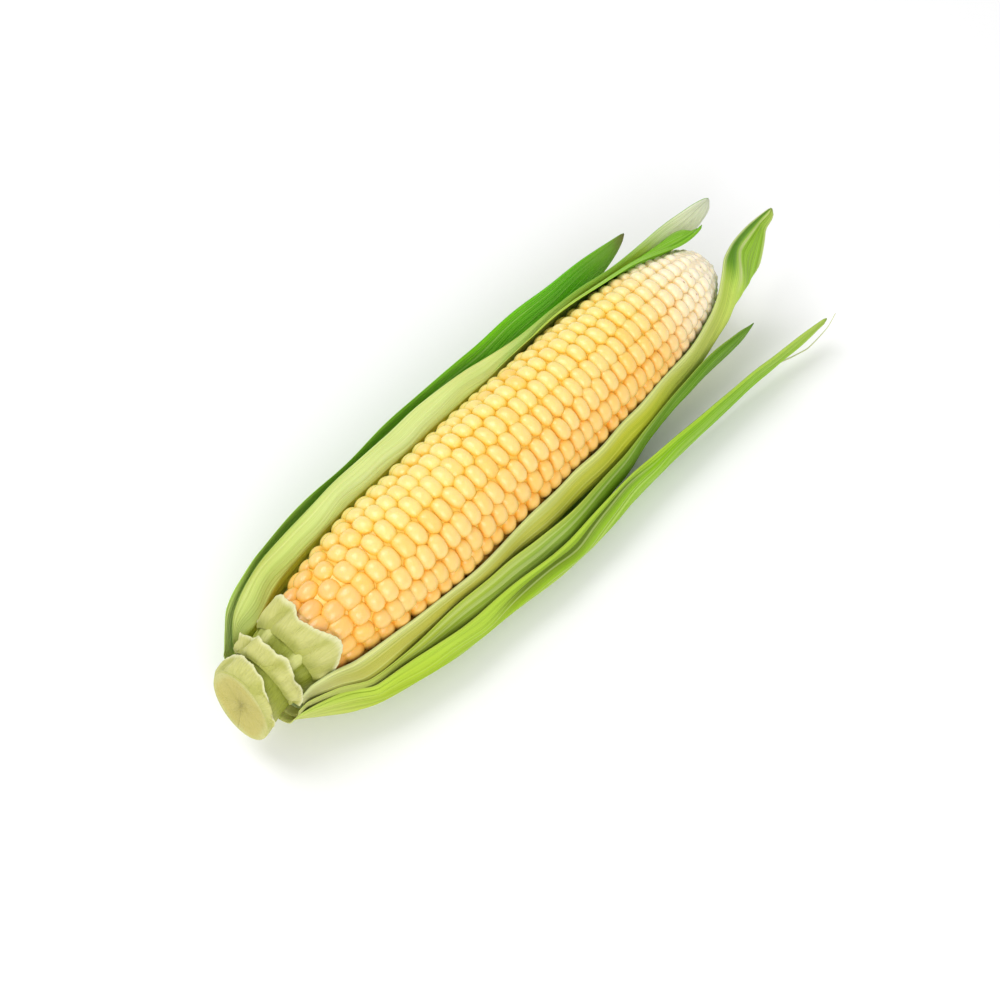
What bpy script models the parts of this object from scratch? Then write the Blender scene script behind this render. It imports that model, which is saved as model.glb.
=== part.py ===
"""Sweet corn: one ear lying on its back in an opened husk, its shank cut short.

The ear's axis is +X, from the cut shank to the tip, and the ear rests on the husk leaf under it.
While it is modelled, x = 0 is the first ring of kernels and the axis is at y = z = 0. At the end an
empty moves everything so that the origin is under the middle of the whole object, on the floor.
Angles round the axis are measured from straight down. "Near" is the -Y side and "far" is the +Y side.
"""

import math
from collections import namedtuple

import bmesh
import bpy
import numpy as np

# The ear
EAR_LENGTH = 0.219
EAR_RADIUS = 0.0230
KERNEL_ROWS = 16
KERNELS_PER_ROW = 38
GROOVE_DEPTH = 0.0014
GROOVE_HALF_WIDTH = 0.0005
BASE_NARROWING = 0.37  # share of the radius that is lost at the first ring of kernels
BASE_REACH = 0.25  # share of the length over which the base widens
BASE_ROUNDNESS = 1.8
TIP_SHARPNESS = 5.5
TIP_ROUNDNESS = 0.375
LAST_RING = 0.995  # share of the length where the last ring of kernels ends

# The shank, which is the ear's cut stem
SHANK_LENGTH = 0.0255
SHANK_RADIUS = 0.0125
CUT_RADIUS = 0.0132
CUT_SLANT = 0.22  # the cut face leans back by this much for each unit of height
CUT_REACH = 0.15  # share of the shank's length that the slant of the cut runs out over
SHANK_DROOP = 0.003
SHANK_SIDES = 32

# The husk
LEAF_THICKNESS = 0.00055
CLEARANCE = 0.00035
LAYER_PITCH = LEAF_THICKNESS + CLEARANCE
FIRST_ROOT = -0.20 * SHANK_LENGTH
ROOT_PITCH = 0.12 * SHANK_LENGTH  # each layer's leaves grow out of the shank this much nearer the cut
OUTER_LAYER = 5
LEAF_STATIONS = (0.15, 0.46, 0.80)  # shares of the ear's length, between a leaf's root and its tip
HUSK_WIDENS_OVER = 0.007  # the husk widens from the shank to the ear over this much before the first ring
HIDDEN_ANGLE = 18  # up to this angle a leaf is pressed between its neighbours and cannot stand off
BULGE_LEAN = 2.2  # above 1, a leaf bulges most nearer its free edge
ROW_SPACING = 0.012
TIP_TAPER = 0.032  # the rows get closer over this length before a leaf's tip
TIP_ROWS = 6
LEAF_COLUMNS = 8
TIP_LEFT = 0.05  # share of its width that a leaf still has at its very tip

# Colours
KERNEL_YELLOW = (0.93, 0.66, 0.20, 1)
SHANK_GREEN = (0.50, 0.56, 0.22, 1)
INNER_GREEN = (0.60, 0.75, 0.30, 1)
OUTER_GREEN = (0.28, 0.55, 0.08, 1)
STUB_GREEN = (0.70, 0.76, 0.45, 1)

# A leaf's lists hold its values at its root, at the three stations and at its tip. start and end are the
# angles of its two edges, in degrees up its own side from straight down. bulge is how far its open part
# swells between its edges, flare how far its free edge stands off, and reach how far all of it does.
Leaf = namedtuple("Leaf", "name layer side tip blunt start end bulge flare reach colour")
NEAR, FAR = -1, 1
LEAVES = (
    Leaf("husk_leaf_near_inner", 0, NEAR, 0.031, 5,
         (-15, -15, -10, 14, 118), (92, 84, 86, 88, 166),
         (0, 0.0050, 0.0076, 0.0060, 0), (0, 0, 0, 0, 0), (0, 0, 0, -0.0012, -0.0150), INNER_GREEN),
    Leaf("husk_leaf_near_middle", 3, NEAR, -0.006, 3,
         (-5, -5, -5, 20, 55), (88, 82, 80, 80, 82),
         (0, 0.0052, 0.0090, 0.0020, 0), (0.002, 0.0040, 0.0070, 0.0050, 0.0035), (0, 0, 0, 0, 0),
         INNER_GREEN),
    Leaf("husk_leaf_near_outer", 4, NEAR, 0.018, 9,
         (15, 15, 20, 58, 62), (66, 72, 77, 76, 72),
         (0, 0.0090, 0.0125, 0.0050, 0), (0.004, 0.0080, 0.0125, 0.0150, 0.0200), (0, 0, 0, 0, 0),
         OUTER_GREEN),
    Leaf("husk_leaf_far_middle", 1, FAR, 0.002, 3,
         (-15, -15, -10, 20, 70), (80, 82, 80, 88, 112),
         (0, 0, 0, 0, 0), (0, 0, 0, 0, 0), (0, 0, 0, -0.0008, -0.0100), OUTER_GREEN),
    Leaf("husk_leaf_far_inner", 2, FAR, 0.017, 4,
         (5, 5, 5, 45, 92), (98, 105, 105, 104, 112),
         (0, 0, 0, 0, 0), (0.001, 0.0085, 0.0076, 0.0010, 0), (0, 0, 0, 0, -0.005), INNER_GREEN),
    Leaf("husk_leaf_far_outer", 4, FAR, -0.013, 4,
         (15, 15, 20, 62, 94), (98, 102, 104, 104, 116),
         (0, 0, 0, 0, 0), (0.003, 0.0105, 0.0104, 0.0085, 0.0040), (0, 0, 0, 0, 0), OUTER_GREEN),
)
UNDER_LEAF_HALF_ANGLES = (44, 44, 44, 34, 16)
UNDER_LEAF_FLARES = (0.003, 0.009, 0.0105, 0.0105, 0.012)
UNDER_LEAF_TIP = -0.018
UNDER_LEAF_BLUNT = 4

# A stub is the torn base of a leaf that was pulled off, over the top of the shank. root and lip are
# shares of the shank's length back from the ear, and start and end angles up the near side.
Stub = namedtuple("Stub", "name root lip start end flare")
STUBS = (
    Stub("husk_stub_low", 0.84, 0.66, 104, 252, 0.0024),
    Stub("husk_stub_middle", 0.60, 0.41, 106, 246, 0.0036),
    Stub("husk_stub_high", 0.31, 0.05, 108, 244, 0.0040),
)
STUB_ROWS = 5
STUB_COLUMNS = 19
STUB_THICKNESS = 0.0011
LIP_WAVES = 3.5
LIP_WAVE_HEIGHT = 0.0009


def smooth_between(knots, values, at):
    """A smooth curve through the values at the knots that never overshoots them."""
    knots, values = np.asarray(knots, float), np.asarray(values, float)
    steps = np.diff(knots)
    slopes = np.diff(values) / steps
    before, after = slopes[:-1], slopes[1:]
    same_way = before * after > 0
    total = np.where(same_way, before + after, 1)
    inner = np.where(same_way, 2 * before * after / total, 0)
    tangents = np.concatenate([slopes[:1], inner, slopes[-1:]])
    i = np.clip(np.searchsorted(knots, at) - 1, 0, len(steps) - 1)
    t = (at - knots[i]) / steps[i]
    rise = values[i + 1] - values[i]
    ease = t * t * (3 - 2 * t)
    leave, arrive = t * (1 - t) ** 2, t * t * (t - 1)
    return values[i] + rise * ease + steps[i] * (tangents[i] * leave + tangents[i + 1] * arrive)


def ease(t):
    t = np.clip(t, 0, 1)
    return t * t * (3 - 2 * t)


def ear_radius(x):
    """Radius over the kernels' tops, from the first ring of kernels to the tip."""
    t = np.clip(x / EAR_LENGTH, 0, 1)
    base = 1 - BASE_NARROWING * np.clip(1 - t / BASE_REACH, 0, 1) ** BASE_ROUNDNESS
    return EAR_RADIUS * base * (1 - t**TIP_SHARPNESS) ** TIP_ROUNDNESS


def envelope_radius(x):
    """Radius that the husk lies on: the shank's, then the ear's, held from the ear's waist onwards."""
    waist = LEAF_STATIONS[1] * EAR_LENGTH
    widening = SHANK_RADIUS + (ear_radius(0) - SHANK_RADIUS) * ease(1 + x / HUSK_WIDENS_OVER)
    on_ear = np.where(x < waist, ear_radius(np.clip(x, 0, waist)), EAR_RADIUS)
    return np.where(x < 0, widening, on_ear)


def axis_drop(x):
    """How far the shank's middle hangs below the ear's axis."""
    return SHANK_DROOP * (np.minimum(x, 0) / SHANK_LENGTH) ** 2


def material(name, colour, roughness):
    made = bpy.data.materials.new(name)
    made.use_nodes = True
    surface = made.node_tree.nodes["Principled BSDF"]
    surface.inputs["Base Color"].default_value = colour
    surface.inputs["Roughness"].default_value = roughness
    surface.inputs["Metallic"].default_value = 0
    made.diffuse_color = colour
    return made


def object_of(name, mesh_edit, surface, parent):
    """Turns an edited bmesh into a shaded object under the parent."""
    bmesh.ops.recalc_face_normals(mesh_edit, faces=mesh_edit.faces)
    mesh = bpy.data.meshes.new(name)
    mesh_edit.to_mesh(mesh)
    mesh_edit.free()
    mesh.materials.append(surface)
    mesh.shade_smooth()
    mesh.set_sharp_from_angle(angle=math.radians(40))
    made = bpy.data.objects.new(name, mesh)
    made.parent = parent
    bpy.context.scene.collection.objects.link(made)
    return made


def spun(outline, sides):
    """A closed solid turned round the X axis from (x, radius) points, with flat ends."""
    edit = bmesh.new()
    rings = []
    for x, radius in outline:
        turns = (2 * math.pi * (i + 0.5) / sides for i in range(sides))
        rings.append([edit.verts.new((x, radius * math.sin(a), radius * math.cos(a))) for a in turns])
    for ring, following in zip(rings, rings[1:]):
        for i in range(sides):
            j = (i + 1) % sides
            edit.faces.new((ring[i], ring[j], following[j], following[i]))
    edit.faces.new(rings[0])
    edit.faces.new(rings[-1])
    return edit


def kernel_ring_places():
    """Places along the axis of the grooves between kernels, even along the ear's outline."""
    x = np.linspace(0, LAST_RING * EAR_LENGTH, 400)
    outline = np.hypot(np.diff(x), np.diff(ear_radius(x)))
    walked = np.concatenate([[0], np.cumsum(outline)])
    return np.interp(np.linspace(0, walked[-1], KERNELS_PER_ROW + 1), walked, x)


def make_ear(parent):
    """The cob with its kernels, grown as one piece: each kernel stands between its grooves."""
    places = kernel_ring_places()
    floor_of_grooves = ear_radius(places) - GROOVE_DEPTH
    edit = spun(zip(places, floor_of_grooves), KERNEL_ROWS)
    kernels = [f for f in edit.faces if len(f.verts) == 4]
    bmesh.ops.recalc_face_normals(edit, faces=edit.faces)
    bmesh.ops.inset_individual(
        edit, faces=kernels, thickness=GROOVE_HALF_WIDTH, depth=GROOVE_DEPTH, use_even_offset=True
    )
    return object_of("ear", edit, material("kernels", KERNEL_YELLOW, 0.35), parent)


def make_shank(parent):
    """The cut stem: a waisted plug from the cut face to just short of the ear's first kernels."""
    length = SHANK_LENGTH - CLEARANCE
    cut_end = [(0, 0.94 * CUT_RADIUS), (0.03, CUT_RADIUS), (0.08, CUT_RADIUS)]
    shares = [(0.11, 0.98), (0.30, 0.94), (0.50, 0.93), (0.72, 0.94), (0.92, 0.96), (1, 0.93)]
    outline = cut_end + [(place, share * SHANK_RADIUS) for place, share in shares]
    edit = spun([(place * length - SHANK_LENGTH, radius) for place, radius in outline], SHANK_SIDES)
    for vertex in edit.verts:
        near_cut = 1 - (vertex.co.x + SHANK_LENGTH) / (CUT_REACH * SHANK_LENGTH)
        slant = vertex.co.z * CUT_SLANT * max(0, near_cut)
        drop = float(axis_drop(vertex.co.x))
        vertex.co.x += slant
        vertex.co.z -= drop
    return object_of("shank", edit, material("shank", SHANK_GREEN, 0.55), parent)


def layer_root(layer):
    return FIRST_ROOT - ROOT_PITCH * layer


def layer_offset(layer, x):
    """Distance of a layer's middle from the envelope. A layer lifts off the shank as those under it begin."""
    lifted = np.clip((x - layer_root(layer)) / ROOT_PITCH, 0, layer)
    return CLEARANCE + LEAF_THICKNESS / 2 + LAYER_PITCH * lifted


def floor_height(layer):
    """Lowest height of a layer's middle, where the ear's weight presses the husk flat."""
    bottom = EAR_RADIUS + CLEARANCE + LAYER_PITCH * OUTER_LAYER + LEAF_THICKNESS / 2
    return -bottom + LAYER_PITCH * (OUTER_LAYER - layer)


def leaf_rows(root, tip):
    """Places of a leaf's rows along the axis: those every leaf shares, then its own near its tip."""
    on_shank = np.arange(layer_root(OUTER_LAYER), 0, ROOT_PITCH)
    on_ear = np.arange(on_shank[-1] + ROOT_PITCH, tip, ROW_SPACING)
    shared = np.concatenate([on_shank, on_ear])
    shared = shared[(shared > root - CLEARANCE) & (shared < tip - TIP_TAPER)]
    own = tip - TIP_TAPER * (1 - np.sin(np.linspace(0, math.pi / 2, TIP_ROWS)))
    return np.concatenate([shared, own])


def sheet(rows, columns, place):
    """A grid with a row at each of the places. Its points are place(x, across), with across from 0 to 1."""
    edit = bmesh.new()
    bmesh.ops.create_grid(edit, x_segments=len(rows) - 1, y_segments=columns - 1, size=0.5)
    flat = np.array([v.co[:] for v in edit.verts]) + 0.5
    row = np.rint(flat[:, 0] * (len(rows) - 1)).astype(int)
    for vertex, point in zip(edit.verts, place(rows[row], flat[:, 1])):
        vertex.co = point
    return edit


def thicken(made, thickness):
    solid = made.modifiers.new("thickness", "SOLIDIFY")
    solid.thickness = thickness
    solid.offset = 0
    return made


def polar(x, angle, radius, side):
    """Points at this distance from the shank's and ear's axis, at this angle up from straight down."""
    y = side * radius * np.sin(angle)
    z = -radius * np.cos(angle) - axis_drop(x)
    return np.stack([x, y, z], axis=-1)


def make_leaf(leaf, parent):
    root, tip = layer_root(leaf.layer), EAR_LENGTH + leaf.tip
    knots = (root, *(EAR_LENGTH * share for share in LEAF_STATIONS), tip)

    def place(x, across):
        start, end, bulge, flare, reach = (
            smooth_between(knots, values, x)
            for values in (leaf.start, leaf.end, leaf.bulge, leaf.flare, leaf.reach)
        )
        along = (x - root) / (tip - root)
        kept = np.maximum(1 - along**leaf.blunt, TIP_LEFT**2) ** 0.5
        lean = 0.5 + 0.25 * along  # where the tip is between the two edges
        angle = start + (end - start) * (lean + (across - lean) * kept)
        open_share = np.clip((angle - HIDDEN_ANGLE) / (end - HIDDEN_ANGLE), 0, 1)
        radius = envelope_radius(x) + layer_offset(leaf.layer, x) + reach
        radius += bulge * np.sin(np.pi * open_share**BULGE_LEAN) + flare * open_share**1.25
        points = polar(x, np.radians(angle), radius, leaf.side)
        points[:, 2] = np.maximum(points[:, 2], floor_height(leaf.layer))
        return points

    edit = sheet(leaf_rows(root, tip), LEAF_COLUMNS, place)
    made = object_of(leaf.name, edit, material(leaf.name, leaf.colour, 0.5), parent)
    return thicken(made, LEAF_THICKNESS)


def make_under_leaf(parent):
    """The outermost leaf, pressed flat on the floor under the ear."""
    root, tip = layer_root(OUTER_LAYER), EAR_LENGTH + UNDER_LEAF_TIP
    knots = (root, *(EAR_LENGTH * share for share in LEAF_STATIONS), tip)

    def place(x, across):
        along = (x - root) / (tip - root)
        kept = np.maximum(1 - along**UNDER_LEAF_BLUNT, TIP_LEFT**2) ** 0.5
        half = smooth_between(knots, UNDER_LEAF_HALF_ANGLES, x) * kept
        sideways = 2 * across - 1
        radius = envelope_radius(x) + layer_offset(OUTER_LAYER, x)
        radius += smooth_between(knots, UNDER_LEAF_FLARES, x) * sideways**2
        points = polar(x, np.radians(half * sideways), radius, NEAR)
        points[:, 2] = np.maximum(points[:, 2], floor_height(OUTER_LAYER))
        return points

    edit = sheet(leaf_rows(root, tip), LEAF_COLUMNS, place)
    made = object_of("husk_leaf_under", edit, material("husk_leaf_under", OUTER_GREEN, 0.5), parent)
    return thicken(made, LEAF_THICKNESS)


def make_stub(stub, parent):
    """A torn leaf base: a collar over the top of the shank, its lip turned out and ragged."""
    root, lip = -stub.root * SHANK_LENGTH, -stub.lip * SHANK_LENGTH

    def place(x, across):
        along = (x - root) / (lip - root)
        waved = x + along * LIP_WAVE_HEIGHT * np.sin(2 * np.pi * LIP_WAVES * across)
        angle = np.radians(stub.start + (stub.end - stub.start) * across)
        radius = envelope_radius(waved) + CLEARANCE + STUB_THICKNESS / 2
        radius += stub.flare * along**2 * (0.4 + 0.6 * np.sin(np.pi * across))
        return polar(waved, angle, radius, NEAR)

    edit = sheet(np.linspace(root, lip, STUB_ROWS), STUB_COLUMNS, place)
    made = object_of(stub.name, edit, material(stub.name, STUB_GREEN, 0.6), parent)
    return thicken(made, STUB_THICKNESS)


def stand_on_floor(frame, pieces):
    """Moves the empty so that the origin is under the middle of the whole object."""
    bpy.context.view_layer.update()
    graph = bpy.context.evaluated_depsgraph_get()
    points = []
    for piece in pieces:
        shown = piece.evaluated_get(graph)
        mesh = shown.to_mesh()
        points += [tuple(v.co) for v in mesh.vertices]
        shown.to_mesh_clear()
    low, high = np.min(points, axis=0), np.max(points, axis=0)
    middle = (low + high) / 2
    frame.location = (-middle[0], -middle[1], -low[2])


def main():
    for old in list(bpy.data.objects):
        bpy.data.objects.remove(old)
    frame = bpy.data.objects.new("corn", None)
    bpy.context.scene.collection.objects.link(frame)
    pieces = [make_ear(frame), make_shank(frame), make_under_leaf(frame)]
    pieces += [make_leaf(leaf, frame) for leaf in LEAVES]
    pieces += [make_stub(stub, frame) for stub in STUBS]
    stand_on_floor(frame, pieces)


main()
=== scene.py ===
"""The finished look of one fresh ear of corn in its opened husk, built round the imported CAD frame.

Places along the ear are in millimetres from the first ring of kernels, and distances from the ear's
axis are in millimetres too. Angles round the axis are in degrees up a leaf's own side from straight
down. "Near" is the -Y side and "far" the +Y side, as in the CAD.
"""

import math
from collections import namedtuple

import bpy
import numpy as np
from mathutils import Matrix, Vector


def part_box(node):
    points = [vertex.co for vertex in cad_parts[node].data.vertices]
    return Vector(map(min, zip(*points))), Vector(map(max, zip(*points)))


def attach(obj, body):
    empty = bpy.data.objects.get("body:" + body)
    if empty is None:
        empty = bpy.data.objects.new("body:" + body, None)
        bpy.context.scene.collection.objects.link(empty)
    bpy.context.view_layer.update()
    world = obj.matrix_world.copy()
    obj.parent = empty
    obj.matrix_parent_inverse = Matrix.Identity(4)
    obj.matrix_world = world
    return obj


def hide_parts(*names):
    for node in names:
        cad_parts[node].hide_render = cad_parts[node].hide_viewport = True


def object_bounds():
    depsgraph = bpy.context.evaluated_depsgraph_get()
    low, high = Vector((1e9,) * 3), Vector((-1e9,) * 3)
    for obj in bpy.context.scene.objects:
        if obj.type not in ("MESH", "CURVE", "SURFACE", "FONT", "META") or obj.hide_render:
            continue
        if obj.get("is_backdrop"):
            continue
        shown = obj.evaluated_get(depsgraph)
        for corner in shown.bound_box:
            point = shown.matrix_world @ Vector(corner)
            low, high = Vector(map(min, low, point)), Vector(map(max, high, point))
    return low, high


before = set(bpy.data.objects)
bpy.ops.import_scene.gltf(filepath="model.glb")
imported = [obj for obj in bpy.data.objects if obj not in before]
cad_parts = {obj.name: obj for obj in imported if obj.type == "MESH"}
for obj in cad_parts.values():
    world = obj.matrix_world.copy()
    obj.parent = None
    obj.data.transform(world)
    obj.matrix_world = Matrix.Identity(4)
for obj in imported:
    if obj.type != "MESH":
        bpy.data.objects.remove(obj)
cad_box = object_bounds()

MM = 0.001
NEAR, FAR = -1, 1

# The frame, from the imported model
EAR_LOW, EAR_HIGH = (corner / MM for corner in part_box("ear"))
FIRST_RING = EAR_LOW.x
EAR_LENGTH = EAR_HIGH.x - EAR_LOW.x
AXIS_Y = (EAR_LOW.y + EAR_HIGH.y) / 2
AXIS_Z = (EAR_LOW.z + EAR_HIGH.z) / 2
CUT_RADIUS = 12.9
CUT_SLANT = 0.22
CUT_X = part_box("shank")[0].x / MM - FIRST_RING + 0.95 * CUT_SLANT * CUT_RADIUS
SHANK_LENGTH = -CUT_X
SHANK_DROOP = 3.0
SHANK_RADIUS = 12.5
EAR_GAP = 0.35  # between the shank and the ear

# The layers of the husk
ROOT_PITCH = 0.12 * SHANK_LENGTH
LAYER_PITCH = 0.9
FIRST_LAYER = 0.6
OUTER_LAYER = 5
LEAF_THICKNESS = 0.42
EDGE_THICKNESS = 0.16
LEAF_ROWS = 170
LEAF_COLUMNS = 140
LEAF_WIDTH = 60  # a leaf's usual width, over which its veins are spread

# The kernels
ROWS = 16
ROW_PHASE = 2.35
KERNEL_SIDES = 20
KERNEL_DOME = 3.1
KERNEL_ROOT = 5.0
FIRST_KERNEL = 3.5
LAST_KERNEL = 1.0
PITCH_PLACES = (0, 10, 24, 60, 105, 160, 190, 204, 216)
PITCHES = (9.4, 8.0, 6.3, 5.75, 5.5, 5.05, 4.6, 3.4, 2.3)
PROFILE_PLACES = (0, 0.035, 0.071, 0.151, 0.233, 0.35, 0.489, 0.669, 0.762, 0.857, 0.92, 0.954, 0.98, 1)
PROFILE = (14.8, 16.6, 18.3, 21.7, 23.3, 23.4, 23.1, 22.5, 21.5, 19.4, 16.0, 13.0, 9.0, 1.5)


def linear(*srgb):
    """A colour from its 8-bit screen values."""
    c = np.array(srgb, float) / 255
    return np.where(c < 0.04045, c / 12.92, ((c + 0.055) / 1.055) ** 2.4)


def ease(t):
    t = np.clip(t, 0, 1)
    return t * t * (3 - 2 * t)


def smooth_between(knots, values, at):
    """A smooth curve through the values at the knots that never overshoots them."""
    knots, values = np.asarray(knots, float), np.asarray(values, float)
    at = np.clip(at, knots[0], knots[-1])
    steps = np.diff(knots)
    slopes = np.diff(values) / steps
    before, after = slopes[:-1], slopes[1:]
    total = np.where(before * after > 0, before + after, 1)
    inner = np.where(before * after > 0, 2 * before * after / total, 0)
    tangents = np.concatenate([slopes[:1], inner, slopes[-1:]])
    i = np.clip(np.searchsorted(knots, at) - 1, 0, len(steps) - 1)
    t = (at - knots[i]) / steps[i]
    rise = values[i + 1] - values[i]
    leave, arrive = t * (1 - t) ** 2, t * t * (t - 1)
    bend = tangents[i] * leave + tangents[i + 1] * arrive
    return values[i] + rise * t * t * (3 - 2 * t) + steps[i] * bend


def ripple(at, period, seed, waves=4):
    """A smooth irregular wave between about -1 and 1."""
    random = np.random.default_rng(seed)
    total = 0
    for _ in range(waves):
        scale = random.uniform(0.6, 1.8)
        total = total + np.sin(2 * np.pi * (at / (period * scale) + random.uniform())) / waves
    return 1.6 * total


def ear_radius(x):
    return smooth_between(np.array(PROFILE_PLACES) * EAR_LENGTH, PROFILE, x)


def envelope_radius(x):
    """Radius that the husk lies on: the shank's, then the ear's, held from the ear's waist onwards."""
    widening = SHANK_RADIUS + (ear_radius(0) - SHANK_RADIUS) * ease(1 + x / 7)
    return np.where(x < 0, widening, ear_radius(np.clip(x, 0, 0.4 * EAR_LENGTH)))


def axis_drop(x):
    """How far the shank's middle hangs below the ear's axis."""
    return SHANK_DROOP * (np.minimum(x, 0) / SHANK_LENGTH) ** 2


def polar(x, angle, radius, side):
    """Points in metres in the row frame."""
    angle = np.radians(angle)
    x, angle, radius = np.broadcast_arrays(x, angle, radius)
    y = AXIS_Y + side * radius * np.sin(angle)
    z = AXIS_Z - axis_drop(x) - radius * np.cos(angle)
    return np.stack([x + FIRST_RING, y, z], axis=-1) * MM


def hug_radius(layer, root, x):
    """Radius at which a leaf of this layer, rooted at this place, lies on those inside it."""
    lifted = np.clip((x - root) / ROOT_PITCH, 0, layer)
    return envelope_radius(x) + FIRST_LAYER + LAYER_PITCH * lifted


def floor_height(layer):
    return (0.3 + LAYER_PITCH * (OUTER_LAYER - layer)) * MM


# Materials


def node(tree, kind, **settings):
    made = tree.nodes.new(kind)
    for name, value in settings.items():
        setattr(made, name, value)
    return made


def surface(name, roughness, subsurface, scatter, scale, coat=0.0):
    """A material whose surface takes its colour from the mesh's colour attribute, ready for its texture."""
    made = bpy.data.materials.new(name)
    made.use_nodes = True
    tree = made.node_tree
    shader = tree.nodes["Principled BSDF"]
    shader.inputs["Roughness"].default_value = roughness
    shader.inputs["Subsurface Weight"].default_value = subsurface
    shader.inputs["Subsurface Radius"].default_value = scatter
    shader.inputs["Subsurface Scale"].default_value = scale
    shader.inputs["Coat Weight"].default_value = coat
    shader.inputs["Coat Roughness"].default_value = 0.2
    colour = node(tree, "ShaderNodeAttribute", attribute_name="colour")
    grain = node(tree, "ShaderNodeAttribute", attribute_name="grain")
    return made, tree, shader, colour.outputs["Color"], grain.outputs["Vector"]


def textured(tree, vector, scale, stretch, detail, low, high):
    """A stretched noise with its range widened to 0..1."""
    mapping = node(tree, "ShaderNodeMapping")
    mapping.inputs["Scale"].default_value = stretch
    noise = node(tree, "ShaderNodeTexNoise")
    noise.inputs["Scale"].default_value = scale
    noise.inputs["Detail"].default_value = detail
    spread = node(tree, "ShaderNodeMapRange")
    spread.inputs["From Min"].default_value = low
    spread.inputs["From Max"].default_value = high
    tree.links.new(vector, mapping.inputs["Vector"])
    tree.links.new(mapping.outputs["Vector"], noise.inputs["Vector"])
    tree.links.new(noise.outputs["Fac"], spread.inputs["Value"])
    return spread.outputs["Result"]


def mixed(tree, factor, first, second, blend="MIX"):
    mix = node(tree, "ShaderNodeMix", data_type="RGBA", blend_type=blend)
    for socket, value in ((mix.inputs[0], factor), (mix.inputs[6], first), (mix.inputs[7], second)):
        if isinstance(value, bpy.types.NodeSocket):
            tree.links.new(value, socket)
        else:
            socket.default_value = value
    return mix.outputs[2]


def scaled(tree, value, share):
    times = node(tree, "ShaderNodeMath", operation="MULTIPLY")
    times.inputs[1].default_value = share
    tree.links.new(value, times.inputs[0])
    return times.outputs[0]


def bumped(tree, shader, height, distance, strength=1.0):
    bump = node(tree, "ShaderNodeBump")
    bump.inputs["Distance"].default_value = distance
    bump.inputs["Strength"].default_value = strength
    tree.links.new(height, bump.inputs["Height"])
    tree.links.new(bump.outputs["Normal"], shader.inputs["Normal"])


def leaf_material(name, roughness, vein_shade):
    """Parallel veins: fine and broad streaks along the leaf, which also roughen its surface."""
    made, tree, shader, colour, grain = surface(name, roughness, 0.10, (0.6, 0.9, 0.2), 0.001)
    shader.inputs["Specular IOR Level"].default_value = 0.16
    fine = textured(tree, grain, 1.0, (2.6, 0.018, 1), 3, 0.35, 0.65)
    broad = textured(tree, grain, 1.0, (0.55, 0.008, 1), 2, 0.36, 0.66)
    blotch = textured(tree, grain, 0.05, (1, 0.35, 1), 2, 0.4, 0.7)
    shaded = mixed(tree, scaled(tree, fine, 0.5 * vein_shade), colour, (0.66, 0.76, 0.40, 1), "MULTIPLY")
    shaded = mixed(tree, scaled(tree, broad, 0.7 * vein_shade), shaded, (0.70, 0.82, 0.48, 1), "MULTIPLY")
    lines = textured(tree, grain, 1.0, (0.95, 0.004, 1), 1, 0.56, 0.68)
    lined = mixed(tree, scaled(tree, lines, 0.42 * vein_shade), shaded, (0.80, 0.88, 0.36, 1))
    pale = mixed(tree, scaled(tree, blotch, 0.10), lined, (0.84, 0.92, 0.50, 1))
    tree.links.new(pale, shader.inputs["Base Color"])
    bumped(tree, shader, fine, 0.00022, 0.55)
    return made


def kernel_material():
    made, tree, shader, colour, grain = surface("kernels", 0.25, 0.28, (1.0, 0.6, 0.2), 0.0018, 0.3)
    mottle = textured(tree, grain, 0.35, (1, 1, 1), 3, 0.35, 0.7)
    warm = mixed(tree, scaled(tree, mottle, 0.35), colour, (1.0, 0.86, 0.62, 1), "MULTIPLY")
    tree.links.new(warm, shader.inputs["Base Color"])
    dimples = textured(tree, grain, 1.6, (1, 1, 1), 2, 0.3, 0.7)
    bumped(tree, shader, dimples, 0.00008, 0.5)
    return made


def fibre_material(name, roughness):
    """Cut or torn plant tissue: fibres along the stem, with stains."""
    made, tree, shader, colour, grain = surface(name, roughness, 0.15, (0.9, 0.8, 0.3), 0.0015)
    fibres = textured(tree, grain, 1.0, (2.2, 0.25, 1), 4, 0.3, 0.7)
    stains = textured(tree, grain, 0.16, (1, 1, 1), 3, 0.45, 0.75)
    shaded = mixed(tree, scaled(tree, fibres, 0.38), colour, (0.62, 0.68, 0.30, 1), "MULTIPLY")
    shaded = mixed(tree, scaled(tree, stains, 0.35), shaded, (0.70, 0.72, 0.42, 1), "MULTIPLY")
    tree.links.new(shaded, shader.inputs["Base Color"])
    bumped(tree, shader, fibres, 0.0003, 0.7)
    return made


# Meshes


def mesh_object(name, points, faces, colours, grain, material):
    mesh = bpy.data.meshes.new(name)
    mesh.from_pydata(points.tolist(), [], faces)
    rgba = np.concatenate([np.clip(colours, 0, 1), np.ones((len(colours), 1))], axis=1)
    attribute = mesh.attributes.new("colour", "FLOAT_COLOR", "POINT")
    attribute.data.foreach_set("color", rgba.ravel())
    attribute = mesh.attributes.new("grain", "FLOAT_VECTOR", "POINT")
    attribute.data.foreach_set("vector", np.asarray(grain, float).ravel())
    mesh.materials.append(material)
    mesh.shade_smooth()
    mesh.validate()
    made = bpy.data.objects.new(name, mesh)
    bpy.context.scene.collection.objects.link(made)
    return made


def grid_faces(rows, columns, start=0, flip=False, wrap=False):
    faces = []
    for i in range(rows - 1):
        for j in range(columns if wrap else columns - 1):
            k = (j + 1) % columns
            face = [start + i * columns + j, start + (i + 1) * columns + j]
            face += [start + (i + 1) * columns + k, start + i * columns + k]
            faces.append(tuple(reversed(face)) if flip else tuple(face))
    return faces


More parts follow.
